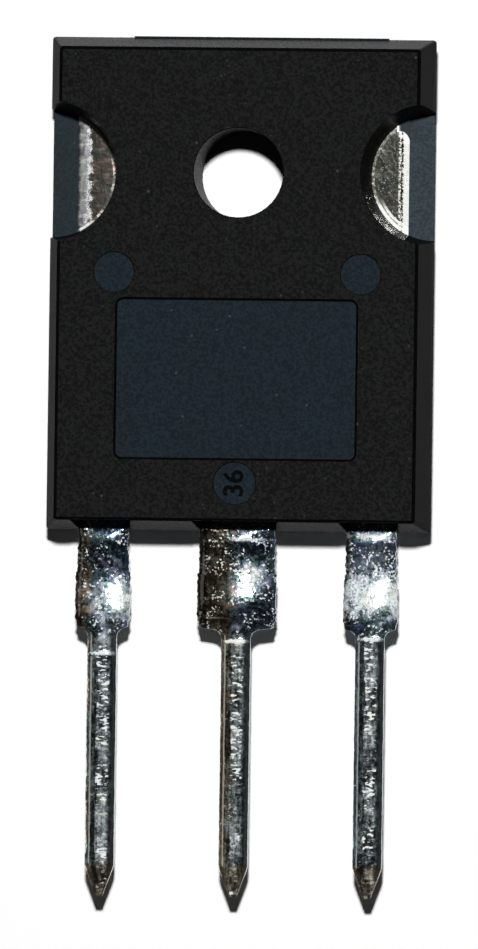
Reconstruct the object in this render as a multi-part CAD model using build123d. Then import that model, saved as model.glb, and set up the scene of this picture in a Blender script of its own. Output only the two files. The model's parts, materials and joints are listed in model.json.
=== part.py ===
from build123d import *
import os
from math import atan2, degrees, hypot, radians, tan

# Power MOSFET in a three-lead through-hole package. Millimetres.
# The part lies on its heat spreader: +Z out of the front face, -Y along the leads,
# origin on the mounting hole's axis at the back face.

# ---- Moulded body ----
BODY_HALF_WIDTH = 7.84  # at the parting line
BODY_TOP_Y = 5.58  # edge beyond the mounting hole, at the parting line
BODY_BOTTOM_Y = -14.49  # edge the leads leave from, at the parting line
BODY_THICKNESS = 5.0
PARTING_Z = 2.4
FRONT_SIDE_DRAFT = 0.51  # how far the front face stands in from the parting line
FRONT_TOP_DRAFT = 0.52
FRONT_BOTTOM_DRAFT = 0.33
BACK_DRAFT = 0.17  # the same for the back face, all round
CORNER_R = 0.14
FRONT_EDGE_BREAK = 0.11

# ---- Mounting hole ----
HOLE_R = 1.82
HOLE_RIM_BREAK = 0.03
SPREADER_HOLE_R = 3.55  # larger hole in the metal, filled by the moulding

# ---- Side notches ----
NOTCH_R_FRONT = 2.89
NOTCH_R_FLOOR = 2.6
NOTCH_STRIP_Z = 1.8  # level of the moulding beside the metal in the notch

# ---- Shallow marks in the front face ----
EJECTOR_R = 0.81
EJECTOR_DEPTH = 0.09
EJECTOR_X = 5.02
EJECTOR_Y = -4.09
CAVITY_MARK_R = 0.85
CAVITY_MARK_Y = -12.62
PANEL_HALF_WIDTH = 4.86
PANEL_TOP_Y = -5.19
PANEL_BOTTOM_Y = -11.6
PANEL_DEPTH = 0.12
PANEL_CORNER_R = 0.25
PANEL_RIM_BREAK = 0.09

# ---- Moulding flash on the top edge ----
FLASH_LEFT_X = -4.5
FLASH_RIGHT_X = 5.9
FLASH_PROUD = 0.05
FLASH_THICKNESS = 0.22
FLASH_ROOT = 0.3

# ---- Heat spreader ----
SPREADER_HALF_WIDTH = 6.76
SPREADER_TOP_Y = 4.49
SPREADER_BOTTOM_Y = -11.6
SPREADER_THICKNESS = 2.0
SPREADER_CORNER_R = 0.6
SPREADER_ROLLED_R = 0.3
GROOVE_Y = -3.0  # mould-locking groove between the hole and the chip
GROOVE_HALF_LENGTH = 5.6
GROOVE_HALF_WIDTH = 0.2
GROOVE_DEPTH = 0.18

# ---- Leads ----
LEAD_PITCH = 5.46
LEAD_BACK_Z = 2.4
LEAD_THICKNESS = 0.6
LEAD_FRONT_Z = LEAD_BACK_Z + LEAD_THICKNESS
OUTER_WIDE_HALF = 1.03
CENTRE_WIDE_HALF = 1.54
STUB_PROUD = 0.08  # what is left at the sides where the dam bar was cut away
STUB_TOP_Y = -16.25
STUB_BOTTOM_Y = -18.2
STUB_THICKNESS = 0.46
SHOULDER_Y = -18.45
SHOULDER_DROP = 0.12
SHOULDER_CORNER_R = 0.17
SHOULDER_ROOT_R = 0.4
PIN_HALF = 0.595
EDGE_BREAK = 0.15  # on the long edges, for the solder-rounded section
TAPER_Y = -28.2
TIP_Y = -29.4
TIP_WIDTH = 0.32
TIP_THICKNESS = 0.2
LEAD_INNER_Y = -13.6  # where the rounded lead joins what is inside the body

# ---- Pockets in the moulding above the leads ----
POCKET_Y = -14.13
OUTER_POCKET_HALF = 1.065
CENTRE_POCKET_HALF = 1.575
POCKET_SIDE_DRAFT = 0.16

# ---- Bond posts inside the body ----
POST_TOP_Y = -12.15
POST_OUTER_X = 6.95
GATE_POST_INNER_X = 3.7
SOURCE_POST_INNER_X = 2.9
POST_HOLE_R = 0.35
POST_HOLE_X = 6.3
POST_HOLE_Y = -12.85
POST_CORNER_BREAK = 0.25

# ---- Centre lead's rise from the heat spreader ----
JOGGLE_START_Y = -12.0  # centre line's lower bend
JOGGLE_OVERLAP = 0.5
JOGGLE_INNER_R = 0.3

# ---- Chip and its solder ----
DIE_WIDTH = 5.2
DIE_LENGTH = 6.6
DIE_THICKNESS = 0.35
DIE_Y = -7.5
SOLDER_MARGIN = 0.15
SOLDER_THICKNESS = 0.06

# ---- Bond wires ----
GATE_WIRE_D = 0.15
SOURCE_WIRE_D = 0.38
FOOT_LENGTH_D = 2.6  # foot sizes in wire diameters
FOOT_WIDTH_D = 1.4
FOOT_HEIGHT_D = 0.62
WIRE_LIFT_D = 0.08  # the wire's underside above the bonded surface, at a foot
FOOT_TAIL_D = 0.3  # the wire stops this far inside the foot
HEEL_R_D = 1.2  # bend where the wire leaves a foot
LOOP_PEAK = 0.4  # the loop's highest point, as a share of the run
WIRE_SIDES = 8
GATE_BOND_POST = (-4.45, -12.85)
GATE_BOND_DIE = (-2.15, -10.2)
SOURCE_BOND_POST_1 = (4.0, -12.85)
SOURCE_BOND_DIE_1 = (0.9, -9.2)
SOURCE_WIRE_STEP = 1.25  # the second wire, in +X of the first
STITCH_PITCH = 2.1
GATE_LOOP_RISE = 0.9
SOURCE_LOOP_RISE = 1.3
STITCH_RISE = 0.55

DIE_TOP_Z = SPREADER_THICKNESS + SOLDER_THICKNESS + DIE_THICKNESS
CUT_PAST = 1.0  # how far a cutting shape runs past the solid it cuts


def box_between(x_range, y_range, z_range):
    """A box given by its limits along each axis."""
    size = [high - low for low, high in (x_range, y_range, z_range)]
    centre = [(low + high) / 2 for low, high in (x_range, y_range, z_range)]
    return Pos(*centre) * Box(*size)


def front_face(shape):
    """The highest face of a shape."""
    return shape.faces().sort_by(Axis.Z)[-1]


def front_edge_break():
    """A larger block whose sloping front edges trim the body's front edges."""
    half = BODY_HALF_WIDTH - FRONT_SIDE_DRAFT + CUT_PAST
    block = box_between(
        (-half, half),
        (BODY_BOTTOM_Y + FRONT_BOTTOM_DRAFT - CUT_PAST, BODY_TOP_Y - FRONT_TOP_DRAFT + CUT_PAST),
        (-CUT_PAST, BODY_THICKNESS),
    )
    return chamfer(front_face(block).edges(), CUT_PAST + FRONT_EDGE_BREAK)


def drafted_block():
    """The outer form: two drafted halves meeting at the parting line, corners rounded."""
    half = BODY_HALF_WIDTH
    across = Plane.XZ * Polyline(
        (-half + BACK_DRAFT, 0),
        (-half, PARTING_Z),
        (-half + FRONT_SIDE_DRAFT, BODY_THICKNESS),
        (half - FRONT_SIDE_DRAFT, BODY_THICKNESS),
        (half, PARTING_Z),
        (half - BACK_DRAFT, 0),
        close=True,
    )
    along = Plane.YZ * Polyline(
        (BODY_BOTTOM_Y + BACK_DRAFT, 0),
        (BODY_BOTTOM_Y, PARTING_Z),
        (BODY_BOTTOM_Y + FRONT_BOTTOM_DRAFT, BODY_THICKNESS),
        (BODY_TOP_Y - FRONT_TOP_DRAFT, BODY_THICKNESS),
        (BODY_TOP_Y, PARTING_Z),
        (BODY_TOP_Y - BACK_DRAFT, 0),
        close=True,
    )
    reach = 2 * (BODY_TOP_Y - BODY_BOTTOM_Y)
    block = extrude(make_face(across), reach, both=True) & extrude(make_face(along), reach, both=True)
    corners = block.edges().filter_by(lambda e: abs((e @ 1).Z - (e @ 0).Z) > CUT_PAST)
    return fillet(corners, CORNER_R) & front_edge_break()


def side_notch(side):
    """Cutter for the half-round notch in one side, wider at the front face."""
    slope = (NOTCH_R_FRONT - NOTCH_R_FLOOR) / (BODY_THICKNESS - SPREADER_THICKNESS)
    low_r = NOTCH_R_FLOOR - slope * (SPREADER_THICKNESS - NOTCH_STRIP_Z)
    high_z = BODY_THICKNESS + CUT_PAST
    height = high_z - NOTCH_STRIP_Z
    cone = Cone(low_r, low_r + slope * height, height)
    return Pos(side * BODY_HALF_WIDTH, 0, NOTCH_STRIP_Z + height / 2) * cone


def shallow_disc(x, y, radius):
    """Cutter for a round mark in the front face."""
    return Pos(x, y, BODY_THICKNESS) * Cylinder(radius, 2 * EJECTOR_DEPTH)


def marking_panel():
    """Cutter for the shallow rectangular panel in the front face."""
    cutter = box_between(
        (-PANEL_HALF_WIDTH, PANEL_HALF_WIDTH),
        (PANEL_BOTTOM_Y, PANEL_TOP_Y),
        (BODY_THICKNESS - PANEL_DEPTH, BODY_THICKNESS + PANEL_DEPTH),
    )
    return fillet(cutter.edges().filter_by(Axis.Z), PANEL_CORNER_R)


def lead_pocket(x, half_width):
    """Cutter that squares the drafted lower edge above one lead, wider at the front face."""
    height = BODY_THICKNESS + CUT_PAST - LEAD_FRONT_Z
    wider = half_width + height * POCKET_SIDE_DRAFT / (BODY_THICKNESS - LEAD_FRONT_Z)
    plane = Plane(origin=(x, POCKET_Y, LEAD_FRONT_Z), x_dir=(1, 0, 0), z_dir=(0, -1, 0))
    section = plane * Polyline(
        (-half_width, 0),
        (half_width, 0),
        (wider, height),
        (-wider, height),
        close=True,
    )
    return extrude(make_face(section), POCKET_Y - BODY_BOTTOM_Y + CUT_PAST)


def top_flash():
    """Thin flash left along the parting line of the top edge."""
    return box_between(
        (FLASH_LEFT_X, FLASH_RIGHT_X),
        (BODY_TOP_Y - FLASH_ROOT, BODY_TOP_Y + FLASH_PROUD),
        (PARTING_Z - FLASH_THICKNESS / 2, PARTING_Z + FLASH_THICKNESS / 2),
    )


def moulded_form():
    """The body's outside, before the metal and the chip are taken out of it."""
    body = drafted_block() + top_flash() - marking_panel()
    body = chamfer(front_face(body).inner_wires()[0].edges(), PANEL_RIM_BREAK)
    body -= Pos(0, 0, BODY_THICKNESS / 2) * Cylinder(HOLE_R, BODY_THICKNESS + CUT_PAST)
    hole_rim = front_face(body).edges().filter_by(lambda e: hypot((e @ 0).X, (e @ 0).Y) < 2 * HOLE_R)
    body = chamfer(hole_rim, HOLE_RIM_BREAK)
    for side in (-1, 1):
        body -= side_notch(side)
        body -= shallow_disc(side * EJECTOR_X, EJECTOR_Y, EJECTOR_R)
        body -= lead_pocket(side * LEAD_PITCH, OUTER_POCKET_HALF)
    body -= lead_pocket(0, CENTRE_POCKET_HALF)
    body -= shallow_disc(0, CAVITY_MARK_Y, CAVITY_MARK_R)
    return body


def lead_section(y, width, thickness):
    """A lead's eight-sided cross-section at one place along it."""
    edge = EDGE_BREAK * thickness / LEAD_THICKNESS
    plane = Plane(origin=(0, y, LEAD_BACK_Z + LEAD_THICKNESS / 2), x_dir=(1, 0, 0), z_dir=(0, -1, 0))
    return plane * chamfer(Rectangle(width, thickness).vertices(), edge)


def pointed_tip():
    """Four-sided pointed end of a pin."""
    root = lead_section(TAPER_Y, 2 * PIN_HALF, LEAD_THICKNESS)
    return loft([root, lead_section(TIP_Y, TIP_WIDTH, TIP_THICKNESS)], ruled=True)


def dam_bar_stubs(wide_half):
    """Sheared ends of the dam bar, on both sides of a lead's wide part."""
    reach = wide_half + STUB_PROUD
    middle_z = LEAD_BACK_Z + LEAD_THICKNESS / 2
    return box_between(
        (-reach, reach),
        (STUB_BOTTOM_Y, STUB_TOP_Y),
        (middle_z - STUB_THICKNESS / 2, middle_z + STUB_THICKNESS / 2),
    )


def outer_lead(wide_half):
    """The part of a lead outside the body: wide part, shoulder, pin and pointed tip."""
    right_side = [
        (wide_half, LEAD_INNER_Y),
        (wide_half, SHOULDER_Y),
        (PIN_HALF, SHOULDER_Y - SHOULDER_DROP),
        (PIN_HALF, TAPER_Y),
    ]
    left_side = [(-x, y) for x, y in reversed(right_side)]
    plan = make_face(Polyline(*right_side, *left_side, close=True))

    def corners_at(y):
        return plan.vertices().filter_by(lambda v: abs(v.Y - y) < 0.01)

    plan = fillet(corners_at(SHOULDER_Y), SHOULDER_CORNER_R)
    plan = fillet(corners_at(SHOULDER_Y - SHOULDER_DROP), SHOULDER_ROOT_R)
    strip = Pos(0, 0, LEAD_BACK_Z) * extrude(plan, LEAD_THICKNESS)
    ends = (LEAD_INNER_Y, TAPER_Y)
    long_edges = strip.edges().filter_by(
        lambda e: abs((e @ 0).Z - (e @ 1).Z) < 0.01
        and not any(abs((e @ 0).Y - y) < 0.01 and abs((e @ 1).Y - y) < 0.01 for y in ends)
    )
    return chamfer(long_edges, EDGE_BREAK) + pointed_tip() + dam_bar_stubs(wide_half)


def bond_post(side, inner_x):
    """Flat post inside the body that the bond wires land on, with its locking hole."""
    low, high = sorted((side * inner_x, side * POST_OUTER_X))
    post = box_between((low, high), (LEAD_INNER_Y, POST_TOP_Y), (LEAD_BACK_Z, LEAD_FRONT_Z))
    post = chamfer(post.edges().filter_by(Axis.Z), POST_CORNER_BREAK)
    hole = Pos(side * POST_HOLE_X, POST_HOLE_Y, LEAD_BACK_Z + LEAD_THICKNESS / 2)
    return post - hole * Cylinder(POST_HOLE_R, LEAD_THICKNESS + CUT_PAST)


def signal_lead(side, inner_x):
    """Gate or source lead with its bond post."""
    lead = Pos(side * LEAD_PITCH, 0, 0) * outer_lead(OUTER_WIDE_HALF)
    return lead + bond_post(side, inner_x)


def joggle():
    """The thin strip that rises from the heat spreader's front to the lead's level."""
    rise = LEAD_FRONT_Z - SPREADER_THICKNESS
    shift = LEAD_THICKNESS / 2 * tan(radians(22.5))
    thin_z = SPREADER_THICKNESS - LEAD_THICKNESS
    start_y = SPREADER_BOTTOM_Y + JOGGLE_OVERLAP
    inner = [(JOGGLE_START_Y + shift, SPREADER_THICKNESS), (JOGGLE_START_Y - rise - shift, LEAD_BACK_Z)]
    outer = [(JOGGLE_START_Y - shift, thin_z), (JOGGLE_START_Y - rise + shift, LEAD_FRONT_Z)]
    profile = make_face(
        Polyline(
            (start_y, SPREADER_THICKNESS),
            inner[0],
            outer[1],
            (LEAD_INNER_Y, LEAD_FRONT_Z),
            (LEAD_INNER_Y, LEAD_BACK_Z),
            inner[1],
            outer[0],
            (start_y, thin_z),
            close=True,
        )
    )

    def at(points):
        return profile.vertices().filter_by(
            lambda v: any(hypot(v.X - y, v.Y - z) < 0.01 for y, z in points)
        )

    profile = fillet(at(inner), JOGGLE_INNER_R)
    profile = fillet(at(outer), JOGGLE_INNER_R + LEAD_THICKNESS)
    return extrude(Plane.YZ * profile, CENTRE_WIDE_HALF, both=True)


def locking_groove():
    """Cutter for the shallow V groove across the heat spreader."""
    section = make_face(
        Polyline(
            (GROOVE_Y - GROOVE_HALF_WIDTH, SPREADER_THICKNESS),
            (GROOVE_Y, SPREADER_THICKNESS - GROOVE_DEPTH),
            (GROOVE_Y + GROOVE_HALF_WIDTH, SPREADER_THICKNESS),
            close=True,
        )
    )
    return extrude(Plane.YZ * section, GROOVE_HALF_LENGTH, both=True)


def drain_tab():
    """Heat spreader and centre lead in one piece."""
    width = 2 * SPREADER_HALF_WIDTH
    length = SPREADER_TOP_Y - SPREADER_BOTTOM_Y
    middle = Pos(0, (SPREADER_TOP_Y + SPREADER_BOTTOM_Y) / 2, 0)
    across = Plane.XZ * Pos(0, SPREADER_THICKNESS / 2) * Rectangle(width, SPREADER_THICKNESS)
    across = fillet(across.vertices().group_by(Axis.Z)[-1], SPREADER_ROLLED_R)
    plan = RectangleRounded(width, length, SPREADER_CORNER_R)
    plate = middle * (extrude(across, length, both=True) & extrude(plan, SPREADER_THICKNESS))
    plate -= Pos(0, 0, SPREADER_THICKNESS / 2) * Cylinder(SPREADER_HOLE_R, SPREADER_THICKNESS + CUT_PAST)
    plate -= locking_groove()
    return plate + joggle() + outer_lead(CENTRE_WIDE_HALF)


def die():
    """The silicon chip."""
    return Pos(0, DIE_Y, DIE_TOP_Z - DIE_THICKNESS / 2) * Box(DIE_WIDTH, DIE_LENGTH, DIE_THICKNESS)


def die_attach():
    """Solder under the chip, a little larger than it."""
    width = DIE_WIDTH + 2 * SOLDER_MARGIN
    length = DIE_LENGTH + 2 * SOLDER_MARGIN
    return Pos(0, DIE_Y, SPREADER_THICKNESS + SOLDER_THICKNESS / 2) * Box(width, length, SOLDER_THICKNESS)


def bond_wire(diameter, post_xy, die_xy, rise, stitched):
    """Wedge-bonded wire: flattened feet joined by loops in one upright plane."""
    run = hypot(die_xy[0] - post_xy[0], die_xy[1] - post_xy[1])
    heading = degrees(atan2(die_xy[1] - post_xy[1], die_xy[0] - post_xy[0]))
    reach = diameter * (FOOT_LENGTH_D / 2 - FOOT_TAIL_D)
    lift = diameter * (0.5 + WIRE_LIFT_D)
    post_z = LEAD_FRONT_Z + lift
    die_z = DIE_TOP_Z + lift
    points = [(-reach, post_z), (reach, post_z), (run * LOOP_PEAK, post_z + rise), (run - reach, die_z)]
    radii = [diameter * HEEL_R_D, rise, diameter * HEEL_R_D]
    feet = [(0, LEAD_FRONT_Z), (run, DIE_TOP_Z)]
    if stitched:
        peak = (run + STITCH_PITCH / 2, die_z + STITCH_RISE)
        points += [(run + reach, die_z), peak, (run + STITCH_PITCH - reach, die_z)]
        radii += [diameter * HEEL_R_D, STITCH_RISE / 2, diameter * HEEL_R_D]
        feet.append((run + STITCH_PITCH, DIE_TOP_Z))
    points.append((feet[-1][0] + reach, die_z))
    path = Plane.XZ * FilletPolyline(*points, radius=radii)
    section = RegularPolygon(diameter / 2, WIRE_SIDES, major_radius=False)
    wire = sweep(Plane(origin=path @ 0, z_dir=path % 0) * section, path=path)
    for along, surface_z in feet:
        height = FOOT_HEIGHT_D * diameter
        foot = Box(FOOT_LENGTH_D * diameter, FOOT_WIDTH_D * diameter, height)
        wire += Pos(along, 0, surface_z + height / 2) * foot
    return Pos(*post_xy, 0) * (Rot(0, 0, heading) * wire)


def source_wire(index):
    """One of the heavy wires from the source post to the chip."""
    step = index * SOURCE_WIRE_STEP
    post_xy = (SOURCE_BOND_POST_1[0] + step, SOURCE_BOND_POST_1[1])
    die_xy = (SOURCE_BOND_DIE_1[0] + step, SOURCE_BOND_DIE_1[1])
    return bond_wire(SOURCE_WIRE_D, post_xy, die_xy, SOURCE_LOOP_RISE, True)


nodes = {
    "drain_tab": drain_tab(),
    "gate_lead": signal_lead(-1, GATE_POST_INNER_X),
    "source_lead": signal_lead(1, SOURCE_POST_INNER_X),
    "silicon_die": die(),
    "die_solder": die_attach(),
    "gate_bond_wire": bond_wire(GATE_WIRE_D, GATE_BOND_POST, GATE_BOND_DIE, GATE_LOOP_RISE, False),
    "source_bond_wire_1": source_wire(0),
    "source_bond_wire_2": source_wire(1),
}
moulded_body = moulded_form()
for inner in nodes.values():
    moulded_body -= inner
nodes["moulded_body"] = moulded_body

os.makedirs("parts", exist_ok=True)
for name, solid in nodes.items():
    export_step(solid, f"parts/{name}.step")
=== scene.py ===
import json
import math
from functools import reduce
from types import SimpleNamespace

import bmesh
import bpy
import numpy as np
from mathutils import Matrix, Vector, noise


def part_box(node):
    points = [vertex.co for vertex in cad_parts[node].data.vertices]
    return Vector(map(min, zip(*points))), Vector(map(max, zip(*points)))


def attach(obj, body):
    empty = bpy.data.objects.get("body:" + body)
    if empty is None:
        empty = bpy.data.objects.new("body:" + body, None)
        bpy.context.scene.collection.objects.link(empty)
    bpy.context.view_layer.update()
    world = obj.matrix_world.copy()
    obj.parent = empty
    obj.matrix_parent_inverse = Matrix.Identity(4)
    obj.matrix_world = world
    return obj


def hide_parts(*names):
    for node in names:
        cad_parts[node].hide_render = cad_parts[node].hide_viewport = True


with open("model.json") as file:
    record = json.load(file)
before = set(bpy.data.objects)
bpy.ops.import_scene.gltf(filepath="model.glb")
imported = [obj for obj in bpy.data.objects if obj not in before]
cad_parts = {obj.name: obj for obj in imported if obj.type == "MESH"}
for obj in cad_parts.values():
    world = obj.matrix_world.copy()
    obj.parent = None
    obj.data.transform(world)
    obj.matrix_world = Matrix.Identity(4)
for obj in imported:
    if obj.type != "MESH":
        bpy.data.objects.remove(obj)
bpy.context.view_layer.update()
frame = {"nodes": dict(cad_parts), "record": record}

# A power MOSFET lying on its heat spreader. Lengths are millimetres of the part and
# MM turns them into Blender's metres: +Z out of the front face, -Y along the leads.
MM = 0.001

# ---- Moulded body ----
body_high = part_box("moulded_body")[1] / MM
FRONT_Z = body_high.z
BODY_HALF_WIDTH = body_high.x
PARTING_Z = 2.4
LOWEST_FLOOR_Z = PARTING_Z - 1  # every floor that faces the front lies above this
LEVEL_SLACK = 0.02  # how near a face lies to a level to belong to it
EDGE_ROUND = 0.025  # radius on the moulding's crisp edges
MARK_RIM_ROUND = 0.07  # on the rims of the round marks
EDGE_SEGMENTS = 2
SHARP_ANGLE = math.radians(30)
ROUNDED_ANGLE = math.radians(50)
FLAT_ANGLE = math.radians(0.5)  # faces this near to one plane are made one
SAME_POINT = 1e-4  # points nearer than this are made one
SHORT_EDGE = 0.06  # edges near shorter ones than this stay crisp

ROUND_MARKS = [Vector((-5.02, -4.09)), Vector((5.02, -4.09)), Vector((0, -12.62))]
MARK_R = 0.9
RIM_DEPTH = 0.15  # how far the broken edges round the front and its marks go down

# How far along Z a face's unit normal points: further for a floor or a rim, less for a side.
FLOOR_FACING = 0.9
RIM_FACING = 0.3
SIDE_FACING = 0.5
HOLE_WALL_R = 2.0  # the hole's wall lies within this
NOTCH_WALL_LEAN = 0.35  # the notches' walls lie within their foot's radius and this

# ---- Cavity number, raised in the round mark ----
CAVITY_NUMBER = "36"
CAVITY_MARK = Vector((*ROUND_MARKS[2], FRONT_Z - 0.09))
DIGIT_HEIGHT = 1.12
DIGIT_PROUD = 0.05
DIGIT_ROUND = 0.018

# ---- Tin-plated metal in the side notches: -1 is the left one and 1 the right one ----
# A width or a line is a distance in from the metal's outer edge.
PLATE_HALF_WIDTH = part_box("drain_tab")[1].x / MM
PLATE_TOP_Z = 2.0
NOTCH_FOOT_R = 2.6  # where the notch's wall meets the metal
INSERT_INNER_X = 5.0
INSERT_HALF_LENGTH = 2.8
INSERT_BOTTOM_Z = 1.2
INSERT_STEP = 0.04
PLATING_PROUD = 0.06
PLATE_LUMPS = ((0.5, 0.004, 7), (0.12, 0.0015, 9))  # size, height and seed of each kind
PLATE_ROUGHNESS = {-1: (0.06, 0.045), 1: (0.05, 0.042)}
FOOT_RING = {-1: (0.985, 0.03), 1: (0.982, 0.032)}  # painted highlight line at the notch's foot, in its radii
PALE_BAND = {-1: (0.56, 0.46), 1: (0.31, 0.25)}  # where the pale band of painted highlight starts and is full
BAND_SWAY = {-1: 0.16, 1: 0.03}  # how far the band's inner edge wanders
BAND_FRAY = 0.05
PALE_CREST = 0.42  # bright crest of painted highlight along the band on the left
HIGHLIGHT_LINE = 0.37  # dotted line of painted highlight beside the band on the right
# Dotted line of painted shade beside the band on the right:
SHADE_LINE = 0.28
# Painted glints on the metal:
LEFT_GLINT = ((0.4 - PLATE_HALF_WIDTH, 1.78), (0.12, 0.16))  # centre, and reach along X and Y
RIGHT_GLINT = ((PLATE_HALF_WIDTH - 0.62, 1.8), (0.3, 0.22))
STROKES_Y = (-0.7, -1.4)  # where the curved strokes of painted highlight on the right start and are full
CORNER_LINE, CORNER_Y = 0.4, 1.35  # centre of the covered corner on the right
CORNER_REACH = (0.4, 0.5)
ROLLED_WIDTH = 0.3  # rolled edge along the metal's left edge
ROLLED_DROP = 0.03
LEDGE_WIDTH = 0.24  # sheared ledge along the metal's right edge
LEDGE_SLOPE = 0.08
LEDGE_STEP = 0.02
LEDGE_SWAY = 0.025
LEDGE_SWAY_SIZE = 0.12

# ---- Leads ----
PINS = {
    mount["name"]: mount["pos_m"][0] / MM
    for mount in frame["record"]["mounts"]
    if mount["name"].endswith("_pin")
}
LEAD_BACK_Z = 2.4
LEAD_THICKNESS = 0.6
LEAD_INNER_Y = -13.6
OUTER_WIDE_HALF = 1.03
CENTRE_WIDE_HALF = 1.54
STUB_PROUD = 0.07
STUB_TOP_Y = -16.2
STUB_BOTTOM_Y = -18.15
STUB_STEP = 0.05  # length and corner radius of the steps at the stub's ends
SHOULDER_Y = -18.45
SHOULDER_DROP = 0.1
SHOULDER_CORNER_R = 0.12
SHOULDER_ROOT_R = 0.42
PIN_HALF = 0.59
TAPER_Y = -28.2
TAPER_R = 0.6
TIP_HALF = 0.14
TIP_THICKNESS = 0.2
TIP_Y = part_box("gate_lead")[0].y / MM
ARC_STEP = 0.15  # radians along a rounded corner
STATION_STEP = 0.05  # along the outline
COLUMNS = 27  # across the front and across the back
BEVEL = 0.17  # width in plan of the worn edge
BEVEL_DEPTH = 0.1
BEVEL_POWER = 1.2
EDGE_THICKNESS = 0.05  # the least that the worn edges leave

# ---- The solder coat's own shape. Each pair is where along Y a thing starts and is full. ----
COAT_STARTS = (-14.45, -14.9)
RISE_STARTS = (-14.1, -14.5)
PIN_STARTS = (-18.2, -19.1)
TIP_STARTS = (-27.9, -28.5)
COAT_THICKNESS = 0.02
CROWN_R = 2.4  # radius of the coat's crown on a pin
WIDE_CROWN_R = 6.0
BACK_CROWN = 0.6  # the back's crown as a share of the front's
COLLAR_Y = -14.9  # where the coat stands highest beside the body
COLLAR_RISE = 0.07
COLLAR_LENGTH = 0.4
SWELL_RISE = 0.11
SWELL_LENGTH = 0.85
SWELL_END_Y = -18.6
RIDGE_RISE = 0.03
RIDGE_LENGTH = 0.06
EDGE_WAVES = ((0, 0.16, 0.05), (3, 0.6, 0.03))  # shift, size and reach of the edges' unevenness
PIN_EDGE_WAVES = 0.15  # how much of it is left on the pins
COAT_LUMPS = ((0.8, 0.012, 0), (0.25, 0.003, 1))  # size, height and what is added to the seed
TIP_LUMPS = 0.3  # how much of them is left at the tip
SIDE_LUMPS = 0.4  # and how much moves the sides
RIDGE_X = 0.05  # painted highlight on the ridge: how far from the lead's centre line it lies
RIDGE_HIGHLIGHT = (0.8, 0.12, 2.2)  # its reach along X and Y, and its strength


def linear(red, green, blue):
    """Display values from 0 to 255 as the linear colour that a shader takes."""
    def one(value):
        value /= 255
        return value / 12.92 if value <= 0.04045 else ((value + 0.055) / 1.055) ** 2.4

    return (one(red), one(green), one(blue), 1)


def grey(value):
    return linear(value, value, value)


# ---------------------------------------------------------------- materials

SOCKETS = {
    "colour": "Base Color",
    "metallic": "Metallic",
    "roughness": "Roughness",
    "specular": "Specular IOR Level",
}
MIXED_NUMBERS = (0, 2, 3)  # a mix node's sockets for the share and two numbers
MIXED_COLOURS = (0, 6, 7)
COLOUR_OUTPUT = 2
DISPLAY_GAMMA = 2.2


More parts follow.
